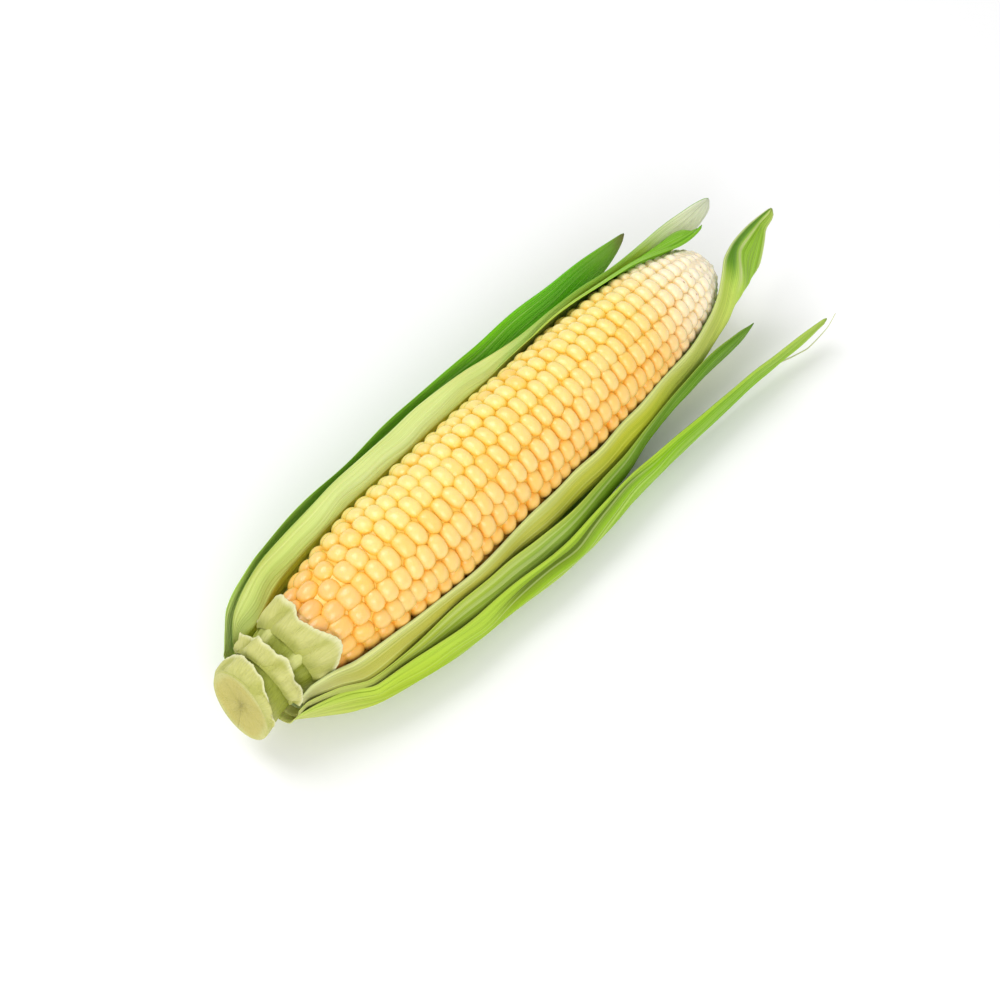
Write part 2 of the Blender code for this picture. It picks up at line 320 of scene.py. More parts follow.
def tube_faces(rows, sides):
    """Faces of a closed tube of rings of points, with a cap at each end."""
    faces = grid_faces(rows, sides, 0, wrap=True)
    faces.append(tuple(range(sides)))
    faces.append(tuple(reversed(range((rows - 1) * sides, rows * sides))))
    return faces


def sheet_normals(points, axis_points):
    """Unit normals of a grid of points, all on the side away from the axis."""
    along = np.gradient(points, axis=0)
    across = np.gradient(points, axis=1)
    normals = np.cross(along, across)
    length = np.linalg.norm(normals, axis=-1, keepdims=True)
    normals = normals / np.maximum(length, 1e-12)
    outward = np.sum(normals * (points - axis_points), axis=-1)
    sign = 1 if np.median(outward) > 0 else -1
    return normals * sign, sign


def solid_sheet(name, points, thickness, outer_colours, inner_colours, grain, material):
    """A closed thin solid round a grid of points, with its own colour on each face."""
    rows, columns = points.shape[:2]
    axis_points = points.copy()
    axis_points[..., 1], axis_points[..., 2] = AXIS_Y * MM, AXIS_Z * MM
    normals, sign = sheet_normals(points, axis_points)
    half = normals * (thickness * MM / 2)[..., None]
    both = np.concatenate([(points + half).reshape(-1, 3), (points - half).reshape(-1, 3)])
    count = rows * columns
    faces = grid_faces(rows, columns, 0, flip=sign < 0)
    faces += grid_faces(rows, columns, count, flip=sign > 0)
    rim = [i * columns for i in range(rows)]
    rim += [(rows - 1) * columns + j for j in range(1, columns)]
    rim += [i * columns + columns - 1 for i in range(rows - 2, -1, -1)]
    rim += list(range(columns - 2, 0, -1))
    for a, b in zip(rim, rim[1:] + rim[:1]):
        face = (a, a + count, b + count, b)
        faces.append(face if sign > 0 else tuple(reversed(face)))
    colours = np.concatenate([outer_colours.reshape(-1, 3), inner_colours.reshape(-1, 3)])
    grain = np.concatenate([grain.reshape(-1, 3)] * 2)
    return mesh_object(name, both, faces, colours, grain, material)


# The kernels and the cob they stand on


def kernel_rings():
    """The kernel's outline from its top to its root: share of its half width, and depth under its top."""
    turns = np.radians([10, 24, 38, 52, 65, 78, 90])
    rings = [(math.sin(a) ** 0.92, KERNEL_DOME * (1 - math.cos(a) ** 0.9)) for a in turns]
    rings += [(0.93, 1.35 * KERNEL_DOME), (0.72, KERNEL_ROOT)]
    return np.array(rings)


def kernel_centres(random):
    """For each kernel: its place along the ear, its row, its wander round the ear, its half length, its
    share of the usual size and a number for its colour. Neighbouring rows are about half a kernel apart."""
    rings = [FIRST_KERNEL]
    while rings[-1] < LAST_KERNEL * EAR_LENGTH:
        x = rings[-1]
        slope = (ear_radius(x + 1) - ear_radius(x - 1)) / 2
        rings.append(x + float(np.interp(x, PITCH_PLACES, PITCHES)) / math.hypot(1, slope))
    kernels = []
    for row in range(ROWS):
        shifts = 0.5 * (row % 2) + 0.28 * ripple(np.array(rings), 80, 200 + row)
        for i in range(len(rings) - 2):
            at = i + shifts[i] + random.normal(0, 0.045 + 0.04 * (i < 2))
            x = float(np.interp(at, range(len(rings)), rings))
            pitch = float(np.interp(x, PITCH_PLACES, PITCHES))
            wander = 1.2 * ripple(x, 70, 100 + row) + random.normal(0, 0.45)
            kernels.append((x, row, wander, pitch / 2, random.normal(1, 0.045), random.uniform()))
    return kernels


def kernel_colours(place, turn, tone, height):
    """Cream tops, paler lemon on the side of the ear facing up, where painted light falls; the amber sides
    and orange clefts are painted shade that deepens down each kernel, and rows low on the near side and
    underneath are painted darker as shade.
    """
    peach, lemon = linear(251, 213, 130), linear(251, 228, 141)
    # Amber down the kernels' sides: painted shade, deeper than the tops.
    shaded_side_low, shaded_side_high = linear(252, 194, 82), linear(252, 212, 78)
    # Painted light: kernels on the side of the ear facing up get paler lemon tops and sides.
    painted_light_share = ease((turn - 120) / 90) * ease(place / 60)
    top = peach + (lemon - peach) * painted_light_share
    side = shaded_side_low + (shaded_side_high - shaded_side_low) * painted_light_share
    # Painted shade: kernels low on the near side and underneath are deeper and darker.
    low = ease((132 - turn) / 40)
    top = top * (1 - low * np.array([0.02, 0.14, 0.40]))
    side = side * (1 - low * np.array([0.04, 0.10, 0.30]))
    base = ease(1 - place / 40)
    top = top * (1 - base * np.array([0.05, 0.26, 0.34]))
    top = top + (linear(255, 204, 100) - top) * 0.7 * max(0, tone - 0.72) / 0.28
    # Orange in the clefts between kernels: painted shade.
    painted_cleft_shade = linear(246, 174, 60)
    white = linear(254, 240, 214)
    young = ease((place - 0.76 * EAR_LENGTH) / (0.18 * EAR_LENGTH))
    top = top + (white - top) * young
    side = side + (linear(254, 232, 184) - side) * young
    painted_cleft_shade = painted_cleft_shade + (linear(246, 216, 156) - painted_cleft_shade) * young
    # Down each kernel the colour passes from the top through the amber sides to orange at the root: painted
    # shade that deepens with depth.
    h = height[:, None]
    upper_part = side + (top - side) * ease((h - 0.40) / 0.5)
    colours = np.where(h > 0.40, upper_part, painted_cleft_shade + (side - painted_cleft_shade) * ease(h / 0.40))
    if young > 0.6 and tone > 0.7:
        colours[0] = linear(176, 124, 70)
    return colours


def make_kernels(material):
    random = np.random.default_rng(11)
    rings = kernel_rings()
    around = 2 * np.pi * (np.arange(KERNEL_SIDES) + 0.5) / KERNEL_SIDES
    points, faces, colours, grains = [], [], [], []
    for place, row, wander, half_length, size, tone in kernel_centres(random):
        young = float(ease((place - 0.86 * EAR_LENGTH) / (0.12 * EAR_LENGTH)))
        first = float(ease(1 - place / 22))
        turn = ROW_PHASE + 360 / ROWS * row + wander * (1 + 0.6 * first)
        radius = float(ear_radius(place))
        half_width = 0.5 * math.radians(360 / ROWS) * (radius - 0.8)
        power = 2 / (2.5 - 0.3 * first + 0.5 * (tone - 0.5))
        c, s = np.cos(around), np.sin(around)
        u = np.sign(c) * abs(c) ** power * half_length * (1.15 + 0.16 * first + 0.9 * (size - 1))
        v = np.sign(s) * abs(s) ** power * half_width * (1.12 + 0.13 * first + 0.6 * (size - 1))
        lean = random.normal(0, 0.10)
        u = u + lean * v * 0.35
        grow = random.normal(0, 0.16)
        dome = 1 - 0.55 * young
        share, depth = rings[:, 0], rings[:, 1] * dome
        local_u = share[:, None] * u
        local_v = share[:, None] * v
        w = grow + 0.35 * first - depth[:, None] - local_v**2 / (2 * max(radius, 4))
        local_u = np.vstack([[0] * KERNEL_SIDES, local_u])
        local_v = np.vstack([[0] * KERNEL_SIDES, local_v])
        w = np.vstack([[grow + 0.03 + 0.35 * first] * KERNEL_SIDES, w])
        slope = (float(ear_radius(place + 1.5)) - float(ear_radius(place - 1.5))) / 3
        tilt = math.atan(slope)
        a = math.radians(turn)
        out = np.array([0, -math.sin(a), -math.cos(a)])
        side = np.array([0, -math.cos(a), math.sin(a)])
        ahead = np.array([1.0, 0, 0])
        normal = out * math.cos(tilt) - ahead * math.sin(tilt)
        tangent = ahead * math.cos(tilt) + out * math.sin(tilt)
        centre = np.array([place + FIRST_RING, AXIS_Y, AXIS_Z]) + out * radius
        grid = centre + local_u[..., None] * tangent + local_v[..., None] * side + w[..., None] * normal
        start = len(points)
        body = grid[1:].reshape(-1, 3)
        top, bottom = grid[0, 0], grid[-1].mean(axis=0)
        points += [top, *body, bottom]
        height = np.clip(1 - depth / (KERNEL_DOME * dome), 0, 1) ** 0.8
        height = np.repeat(height, KERNEL_SIDES)
        height = np.concatenate([[1], height, [0]])
        colours.append(kernel_colours(place, turn, tone, height))
        grains.append(np.array([top, *body, bottom]) + 40 * tone)
        count = len(rings)
        for k in range(KERNEL_SIDES):
            n = (k + 1) % KERNEL_SIDES
            faces.append((start, start + 1 + k, start + 1 + n))
            for ring in range(count - 1):
                low, high = start + 1 + ring * KERNEL_SIDES, start + 1 + (ring + 1) * KERNEL_SIDES
                faces.append((low + k, high + k, high + n, low + n))
            last = start + 1 + (count - 1) * KERNEL_SIDES
            faces.append((start + 1 + count * KERNEL_SIDES, last + n, last + k))
    flip = faces_inward(points, faces, len(rings))
    faces = [tuple(reversed(f)) for f in faces] if flip else faces
    points = np.array(points) * MM
    return mesh_object("kernels", points, faces, np.vstack(colours), np.vstack(grains), material)


def faces_inward(points, faces, rings):
    """Whether the first kernel's top face points inwards."""
    a, b, c = (np.array(points[i]) for i in faces[0])
    top, root = np.array(points[0]), np.array(points[1 + (rings - 1) * KERNEL_SIDES])
    return np.dot(np.cross(b - a, c - a), top - root) < 0


def make_cob(material):
    """The cob under the kernels, which shows in the clefts and at the tip."""
    tip_places = np.linspace(0.905, 1.0, 46) * EAR_LENGTH
    places = np.concatenate([np.linspace(-1.0, 0.9 * EAR_LENGTH, 90), tip_places])
    sides = 96
    turns = np.arange(sides) * 360 / sides
    x, turn = np.meshgrid(places, turns, indexing="ij")
    tip = ease((x - 0.88 * EAR_LENGTH) / (0.07 * EAR_LENGTH))
    depth = 2.6 * (1 - tip) + 0.55 * tip
    bumps = np.sin(np.radians(turn * 16) + x * 1.1) * np.sin(x * 2.1) * 0.28 * tip
    radius = np.maximum(ear_radius(x) - depth + bumps, 0.3)
    points = polar(x, turn, radius, NEAR).reshape(-1, 3)
    faces = tube_faces(len(places), sides)
    amber, cream = linear(250, 206, 84), linear(252, 234, 200)
    pale = ease((x - 0.86 * EAR_LENGTH) / (0.08 * EAR_LENGTH))[..., None]
    colours = (amber + (cream - amber) * pale).reshape(-1, 3)
    return mesh_object("cob", points, faces, colours, points / MM, material)


# The leaves

# Each row of a leaf's shape is a place, the angle of its hidden edge, the angle and radius of its
# widest stand-off, and the angle and radius of its free edge.
Leaf = namedtuple("Leaf", "name side layer shape tip blunt notch cup fold outer inner ribs seed")

NEAR_INNER = (
    (-11, -15, 70, 13.6, 104, 13.8),
    (-5, -15, 72, 17.0, 106, 15.8),
    (0, -15, 72, 20.2, 107, 17.4),
    (11, -15, 70, 25.6, 100, 19.0),
    (29, -15, 68, 27.2, 97, 22.2),
    (59, -15, 67, 27.7, 92, 23.9),
    (80, -12, 66, 28.5, 91, 24.0),
    (98, -10, 66, 30.6, 91, 23.9),
    (131, 0, 66, 30.0, 92, 23.3),
    (155, 6, 66, 30.0, 94, 22.6),
    (170, 10, 67, 28.6, 95, 21.9),
    (186, 14, 69, 25.4, 97, 20.4),
    (197, 18, 71, 23.2, 100, 18.0),
    (206, 22, 74, 21.0, 110, 15.2),
    (213, 28, 78, 18.4, 124, 12.4),
    (221, 36, 82, 17.4, 146, 9.6),
    (231, 46, 86, 15.2, 160, 8.4),
    (243, 62, 94, 11.4, 164, 7.0),
    (252, 84, 104, 7.4, 164, 5.4),
)
NEAR_MIDDLE = (
    (-14, -5, 68, 14.5, 88, 14.5),
    (0, -5, 68, 21.0, 88, 20.0),
    (12, -5, 68, 28.0, 82, 25.2),
    (24, -5, 68, 29.4, 81, 26.6),
    (34, -5, 68, 31.6, 81, 27.0),
    (48, -5, 68, 34.3, 81, 27.2),
    (72, -2, 68, 36.3, 80, 28.0),
    (90, 2, 68, 38.4, 79, 30.4),
    (110, 10, 68, 37.7, 79, 31.2),
    (133, 22, 68, 36.0, 79, 30.4),
    (150, 32, 68, 32.4, 82, 29.0),
    (170, 44, 68, 30.2, 87, 27.2),
    (191, 52, 68, 30.2, 89, 26.6),
    (204, 57, 68, 29.8, 85, 26.6),
    (214, 62, 69, 28.6, 76, 27.8),
)
NEAR_OUTER = (
    (-17, 15, 60, 14.8, 70, 15.2),
    (-8, 15, 62, 21.8, 77, 18.0),
    (3, 15, 64, 29.4, 77, 22.2),
    (12, 15, 66, 33.2, 77, 28.0),
    (27, 15, 68, 36.6, 77, 29.4),
    (48, 16, 68, 40.5, 77, 33.6),
    (72, 20, 68, 43.4, 77, 35.8),
    (90, 26, 68, 45.0, 77, 37.6),
    (110, 36, 68, 45.4, 77, 37.2),
    (133, 48, 68, 44.4, 77, 37.0),
    (155, 56, 68, 44.2, 76, 38.2),
    (191, 60, 68, 44.6, 75, 40.6),
    (212, 61, 68, 46.2, 74, 42.8),
    (227, 62, 68, 47.2, 73, 44.2),
    (239, 64, 68, 47.2, 72, 45.0),
)
FAR_MIDDLE = (
    (-8, -15, 60, 14.2, 78, 14.4),
    (0, -15, 60, 17.0, 80, 17.2),
    (60, -12, 60, 24.2, 84, 24.4),
    (110, -5, 70, 24.0, 94, 24.2),
    (150, 22, 90, 23.6, 122, 23.0),
    (175, 45, 100, 21.8, 136, 21.4),
    (190, 60, 104, 20.4, 142, 19.4),
    (205, 74, 104, 18.4, 150, 15.4),
    (215, 82, 105, 17.6, 152, 12.4),
    (226, 92, 106, 17.0, 152, 10.2),
)
FAR_INNER = (
    (-12, 5, 84, 13.8, 98, 17.0),
    (-5, 5, 90, 15.4, 103, 24.0),
    (4, 5, 98, 18.4, 107, 28.2),
    (16, 5, 100, 21.8, 109, 30.8),
    (40, 5, 101, 24.4, 110, 33.3),
    (62, 6, 101, 24.6, 110, 33.6),
    (86, 8, 101, 24.5, 110, 33.9),
    (116, 18, 101, 24.0, 110, 31.9),
    (136, 36, 101, 23.4, 110, 28.6),
    (155, 52, 100, 22.6, 112, 26.8),
    (164, 58, 99, 21.8, 113, 25.6),
    (184, 66, 98, 19.2, 115, 23.8),
    (205, 74, 96, 16.0, 118, 23.0),
    (229, 76, 96, 13.6, 119, 22.2),
    (239, 82, 98, 14.0, 117, 21.0),
)
FAR_OUTER = (
    (-17, 15, 76, 15.0, 98, 16.0),
    (-11, 15, 76, 18.2, 99, 21.8),
    (-5, 15, 78, 22.4, 100, 26.8),
    (5, 15, 78, 27.6, 102, 30.6),
    (16, 15, 80, 31.4, 103, 33.2),
    (62, 18, 80, 34.6, 104, 36.2),
    (90, 26, 80, 34.0, 104, 36.5),
    (116, 38, 80, 32.0, 104, 36.6),
    (136, 52, 80, 30.6, 103, 36.2),
    (155, 62, 82, 29.8, 102, 35.6),
    (173, 70, 85, 29.8, 101, 34.7),
    (194, 76, 88, 30.0, 101, 33.4),
    (206, 82, 92, 30.0, 101, 31.8),
)

LIME = linear(160, 204, 52)
BRIGHT = linear(132, 196, 36)
WHITISH = linear(216, 230, 178)


def blended(x, *stops):
    """Colours that pass smoothly from one (place, colour) to the next."""
    places = [place for place, _ in stops]
    channels = [smooth_between(places, [colour[i] for _, colour in stops], x) for i in range(3)]
    return np.stack(channels, axis=-1)


def outer_pale(x, across):
    base = blended(x, (-10, linear(218, 214, 150)), (14, linear(222, 218, 104)), (60, linear(228, 222, 78)),
                   (150, linear(226, 230, 70)), (190, linear(230, 238, 112)), (212, linear(214, 236, 100)),
                   (226, linear(166, 212, 48)), (240, linear(158, 204, 48)), (251, linear(190, 212, 100)))
    lip = ease((across - 0.91) / 0.09)[..., None]
    blade = ease((x - 212) / 10)[..., None]
    inside = ease((across - 0.70) / 0.1)[..., None] * blade
    base = base + (linear(92, 158, 14) - base) * 0.8 * inside
    midrib = np.exp(-(((across - 0.64) / 0.05) ** 2))[..., None] * blade
    low_edge = ease((0.16 - across) / 0.14)[..., None] * blade
    pale = np.clip(lip + midrib + low_edge, 0, 1)
    return base + (linear(236, 240, 176) - base) * pale * (0.70 + 0.15 * blade)


def inner_green(x, across):
    base = blended(x, (-10, WHITISH), (150, linear(196, 220, 130)), (205, LIME), (225, linear(120, 176, 40)),
                   (251, linear(150, 178, 70)))
    lip = ease((across - 0.93) / 0.07)[..., None]
    return base + (linear(214, 226, 170) - base) * lip


def outer_olive(x, across):
    base = blended(x, (-14, linear(206, 206, 124)), (30, linear(180, 196, 66)), (80, linear(158, 190, 36)),
                   (120, linear(130, 172, 16)), (160, linear(118, 168, 10)), (214, linear(106, 158, 6)))
    lip = ease((across - 0.95) / 0.05)[..., None]
    return base + (linear(200, 214, 90) - base) * 0.7 * lip


def inner_olive(x, across):
    return blended(x, (-14, linear(240, 236, 150)), (110, linear(170, 200, 96)), (214, linear(110, 160, 40)))


def outer_bright(x, across):
    base = blended(x, (-17, linear(210, 212, 122)), (20, linear(182, 206, 52)), (110, linear(158, 200, 26)),
                   (180, linear(144, 200, 18)), (237, linear(184, 214, 90)))
    lip = ease((across - 0.90) / 0.10)[..., None]
    return base + (linear(196, 222, 84) - base) * 0.7 * lip


def inner_bright(x, across):
    return blended(x, (-17, linear(240, 236, 150)), (110, linear(176, 206, 110)), (237, linear(150, 196, 84)))


def inner_whitish(x, across):
    base = blended(x, (-11, linear(204, 216, 124)), (20, linear(208, 226, 132)), (60, linear(224, 240, 168)),
                   (150, linear(226, 242, 160)), (190, linear(216, 240, 104)), (212, linear(244, 250, 200)),
                   (237, linear(254, 255, 240)))
    low = (ease((0.925 - across) / 0.05) * ease((212 - x) / 14))[..., None]
    return base + (linear(222, 232, 70) - base) * 0.8 * low


def outer_far(x, across):
    return blended(x, (-17, linear(176, 206, 88)), (60, linear(150, 196, 84)), (237, BRIGHT))


def inner_deep(x, across):
    return blended(x, (-17, linear(222, 236, 160)), (10, linear(208, 234, 110)), (60, linear(186, 232, 84)),
                   (110, linear(164, 232, 56)), (175, linear(128, 218, 36)), (196, linear(150, 206, 64)),
                   (205, linear(146, 136, 78)))


def outer_deep(x, across):
    return blended(x, (-17, linear(186, 220, 80)), (60, linear(142, 204, 50)), (205, linear(92, 168, 22)))


def tip_green(x, across):
    return blended(x, (-8, WHITISH), (150, linear(200, 224, 96)), (190, linear(146, 208, 44)),
                   (224, linear(140, 198, 52)))


LEAVES = (
    Leaf("husk_near_inner", NEAR, 0, NEAR_INNER, 252, 14, 0, 0.42, 0, outer_pale, inner_green, 0.5, 3),
    Leaf("husk_near_middle", NEAR, 3, NEAR_MIDDLE, 214, 9, 0, 0, 0, outer_olive, inner_olive, 0.26, 4),
    Leaf("husk_near_outer", NEAR, 4, NEAR_OUTER, 239, 30, 0, 0, 1.5, outer_bright, inner_bright, 0.28, 5),
    Leaf("husk_far_middle", FAR, 1, FAR_MIDDLE, 225, 16, 1, 0, 0, tip_green, tip_green, 0.25, 6),
    Leaf("husk_far_inner", FAR, 2, FAR_INNER, 239, 10, 0, 0, 0, outer_far, inner_whitish, 0.3, 7),
    Leaf("husk_far_outer", FAR, 4, FAR_OUTER, 206, 16, 0, 0, 0, outer_deep, inner_deep, 0.26, 8),
)


def across_radius(knots, values, at):
    """Smooth radius across a leaf at every row: the same as smooth_between, with its own knots in each."""
    result = np.zeros_like(at)
    for i in range(at.shape[0]):
        result[i] = smooth_between([k[i] for k in knots], [v[i] for v in values], at[i])
    return result


def make_leaf(leaf, material):
    shape = np.array(leaf.shape, float)
    root = leaf.shape[0][0]
    across = 1 - (1 - np.linspace(0, 1, LEAF_COLUMNS)) ** 1.25
    along = np.linspace(0, 1, LEAF_ROWS)
    s, c = np.meshgrid(along, across, indexing="ij")
    tip = leaf.tip - leaf.notch * (9 * np.exp(-(((c - 0.80) / 0.06) ** 2)) + 4.5 * ease((0.78 - c) / 0.2))
    x = root + (tip - root) * s
    row_x = root + (leaf.tip - root) * along
    columns = (smooth_between(shape[:, 0], shape[:, k], row_x) for k in range(1, 6))
    start, widest, widest_r, edge, edge_r = columns
    kept = np.sqrt(np.maximum(1 - along**leaf.blunt, 0.0025))
    lean = 0.5 + 0.25 * along
    edge = edge + 1.2 * ripple(row_x, 34, leaf.seed)
    share = lean[:, None] + (c - lean[:, None]) * kept[:, None]
    angle = start[:, None] + (edge - start)[:, None] * share
    hug = hug_radius(leaf.layer, root, row_x)
    clear = np.where(row_x < EAR_LENGTH, ear_radius(row_x) + 0.45 + LAYER_PITCH * min(leaf.layer, 1), 0)
    free = ease((start - 28) / 26)
    low_r = np.minimum(hug, widest_r)
    low_r = np.maximum(low_r + (0.97 * widest_r - low_r) * free, clear)
    widest_r, edge_r = np.maximum(widest_r, clear), np.maximum(edge_r, clear)
    quarter = start + 0.35 * (widest - start)
    middle_r = low_r + 0.12 * (widest_r - low_r)
    knots = (start - 1, quarter, widest, np.maximum(edge, widest + 1.5) + 0.5)
    radius = across_radius(knots, (low_r, middle_r, widest_r, edge_r), angle)
    open_share = ease((angle - 40) / 30)
    ribs = np.abs(ripple(c * LEAF_WIDTH, 4.6, leaf.seed + 20)) - 0.4
    base_folds = 1 + 2.2 * ease(1 - x / 26)
    radius = radius + leaf.ribs * base_folds * ribs * open_share * ease(s * 12)
    past_ear = ease((x - EAR_LENGTH + 1) / 14) * ease((leaf.tip - x) / 8)
    faced = np.clip((angle - 72) / (edge[:, None] - 70), 0, 1)
    radius = radius * (1 - leaf.cup * past_ear * np.sin(np.pi * faced))
    radius = radius + 0.5 * ripple(x, 46, leaf.seed + 40) * open_share * ease(s * 6)
    crease = ease((x - 52) / 26) * ease((150 - x) / 26) * np.exp(-(((c - 0.925) / 0.035) ** 2))
    radius = np.maximum(radius - leaf.fold * crease, clear[:, None])
    points = polar(x, angle, radius, leaf.side)
    points[..., 2] = np.maximum(points[..., 2], floor_height(leaf.layer))
    rim = np.minimum(1, np.minimum(c, 1 - c) * 24) * np.minimum(1, (1 - s) * 30)
    thickness = EDGE_THICKNESS + (LEAF_THICKNESS - EDGE_THICKNESS) * rim
    grain = np.stack([c * LEAF_WIDTH + 50 * leaf.seed, x, np.zeros_like(x)], axis=-1)
    # Painted shade: the outer colour darkens in the grooves between the ribs and along the crease, the inner
    # colour half as much.
    painted_groove_shade = 1 - leaf.ribs * 0.5 * (ease((0.1 - ribs) / 0.4) * open_share)[..., None]
    painted_groove_shade = painted_groove_shade * (1 - 0.45 * leaf.fold * crease[..., None])
    outer, inner = leaf.outer(x, c) * painted_groove_shade, leaf.inner(x, c) * (0.5 + 0.5 * painted_groove_shade)
    return solid_sheet(leaf.name, points, thickness, outer, inner, grain, material)


def make_under_leaf(material):
    """The outermost leaf, pressed flat on the floor under the ear."""
    root, tip = -18, EAR_LENGTH - 18
    s, c = np.meshgrid(np.linspace(0, 1, LEAF_ROWS), np.linspace(-1, 1, LEAF_COLUMNS), indexing="ij")
    x = root + (tip - root) * s
    knots = (root, 12, 101, 175, tip)
    kept = np.sqrt(np.maximum(1 - s**4, 0.0025))
    half = smooth_between(knots, (14, 44, 44, 34, 16), x) * kept
    flare = smooth_between(knots, (3, 9, 10.5, 10.5, 12), x)
    radius = hug_radius(OUTER_LAYER, root, x) + flare * c**2
    radius = radius + 0.25 * (np.abs(ripple(c * 30, 4, 61)) - 0.4) * ease((abs(c) - 0.3) / 0.3)
    points = polar(x, half * c, radius, NEAR)
    points[..., 2] = np.maximum(points[..., 2], floor_height(OUTER_LAYER))
    rim = np.minimum(1, (1 - abs(c)) * 12) * np.minimum(1, (1 - s) * 30)
    thickness = EDGE_THICKNESS + (LEAF_THICKNESS - EDGE_THICKNESS) * rim
    grain = np.stack([c * 30, x, np.zeros_like(x)], axis=-1)
    return solid_sheet("husk_under", points, thickness, outer_bright(x, abs(c)), inner_bright(x, abs(c)),
                       grain, material)


def make_fibre(material):
    """A thin dry fibre torn off the lower edge of the near outer leaf's tip."""
    sides, count = 10, 60
    t, turn = np.meshgrid(np.linspace(0, 1, count), np.arange(sides) * 2 * np.pi / sides, indexing="ij")
    x = 213 + 29 * t
    angle = smooth_between((0, 0.4, 0.8, 1), (67, 66, 69, 73), t)
    radius = smooth_between((0, 0.25, 0.5, 0.8, 1), (46.2, 48.4, 49.9, 49.4, 47.6), t)
    thick = 0.32 * (1 - 0.6 * t)
    points = polar(x, angle + np.degrees(thick * np.sin(turn) / radius), radius + thick * np.cos(turn), NEAR)
    faces = tube_faces(count, sides)
    colours = np.broadcast_to(linear(206, 210, 160), (count * sides, 3))
    points = points.reshape(-1, 3)
    return mesh_object("husk_fibre", points, faces, colours, points / MM, material)


# The shank and the torn leaf bases


def make_shank(material):
    """The cut stem, its ribbed side and its slanted, fibrous cut face."""
    sides, face_rows = 128, 22
    turns = np.arange(sides) * 360 / sides
    shares = np.array([0, 0.03, 0.08, 0.16, 0.26, 0.36, 0.48, 0.60, 0.72, 0.84, 0.93, 1.0])
    outline = np.array([CUT_RADIUS, 13.2, 13.1, 12.6, 12.1, 11.7, 11.6, 12.0, 12.8, 13.6, 14.0, 13.4])
    share = np.linspace(0, 1, 56)
    x = CUT_X + share * (SHANK_LENGTH - EAR_GAP)
    radius = smooth_between(shares, outline, share)
    face = np.linspace(0.04, 0.985, face_rows)
    x, turn = np.meshgrid(np.concatenate([np.full(face_rows, CUT_X), x]), turns, indexing="ij")
    radius = np.concatenate([face * outline[0], radius])[:, None] * np.ones_like(turn)
    ribs = 0.16 * ripple(turn, 17.5, 71, 5) + 0.25 * np.sin(np.radians(turn * 3 + 40))
    radius = radius + 0.3 * np.sin(np.radians(turn * 2 + 30)) * radius / CUT_RADIUS
    on_side = np.zeros(len(radius))
    on_side[face_rows:] = ease(share * 12)
    near_ear = ease((x - CUT_X - 12) / 5)
    hollows = ripple(turn, 42, 76, 3) * near_ear
    radius = radius + ribs * on_side[:, None] + 0.9 * hollows - 0.5 * near_ear
    inner = radius / outline[0]
    cut = np.zeros(len(radius))
    cut[:face_rows] = 1
    rings = 0.16 * np.cos(inner * 46) * (inner > 0.55) + 0.10 * ripple(turn + inner * 40, 9, 73)
    dish = 0.7 * (1 - inner**2) + rings
    slanted = ease((0.15 * SHANK_LENGTH - (x - CUT_X)) / (0.15 * SHANK_LENGTH))
    height = -radius * np.cos(np.radians(turn))
    x = x + cut[:, None] * dish * 0.8 + CUT_SLANT * height * slanted
    points = polar(x, turn, radius, NEAR).reshape(-1, 3)
    faces = tube_faces(len(radius), sides)
    tan, rim, olive = linear(206, 194, 104), linear(212, 208, 132), linear(158, 166, 50)
    on_face = tan + (rim - tan) * ease((inner + 0.08 * ripple(turn, 90, 77) - 0.78) / 0.2)[..., None]
    side = olive + (linear(204, 202, 122) - olive) * ease(1 - (x - CUT_X) / 8)[..., None]
    side = side + (linear(210, 212, 130) - side) * ease(hollows)[..., None]
    colours = np.where(cut[:, None, None] > 0, on_face, side).reshape(-1, 3)
    grain = np.stack([turn * 0.22, x, inner * 9], axis=-1).reshape(-1, 3)
    return mesh_object("shank_cut", points, faces, colours, grain, material)


Stub = namedtuple("Stub", "name root lip start end sweep reach curl pockets tear thick slant seed")
STUBS = (
    Stub("husk_torn_low", -25.2, -17.4, 92, 268, 2.4, 1.3, 0.5, 0.9, 1.9, 0.9, 1, 93),
    Stub("husk_torn_middle", -14.8, -8.2, 94, 256, 1.2, 2.4, 2.0, 1.4, 2.0, 1.8, 0, 82),
    Stub("husk_torn_high", -3.8, 7.0, 96, 254, -1.4, 1.5, 0.7, 1.2, 2.8, 1.0, 0, 89),
)


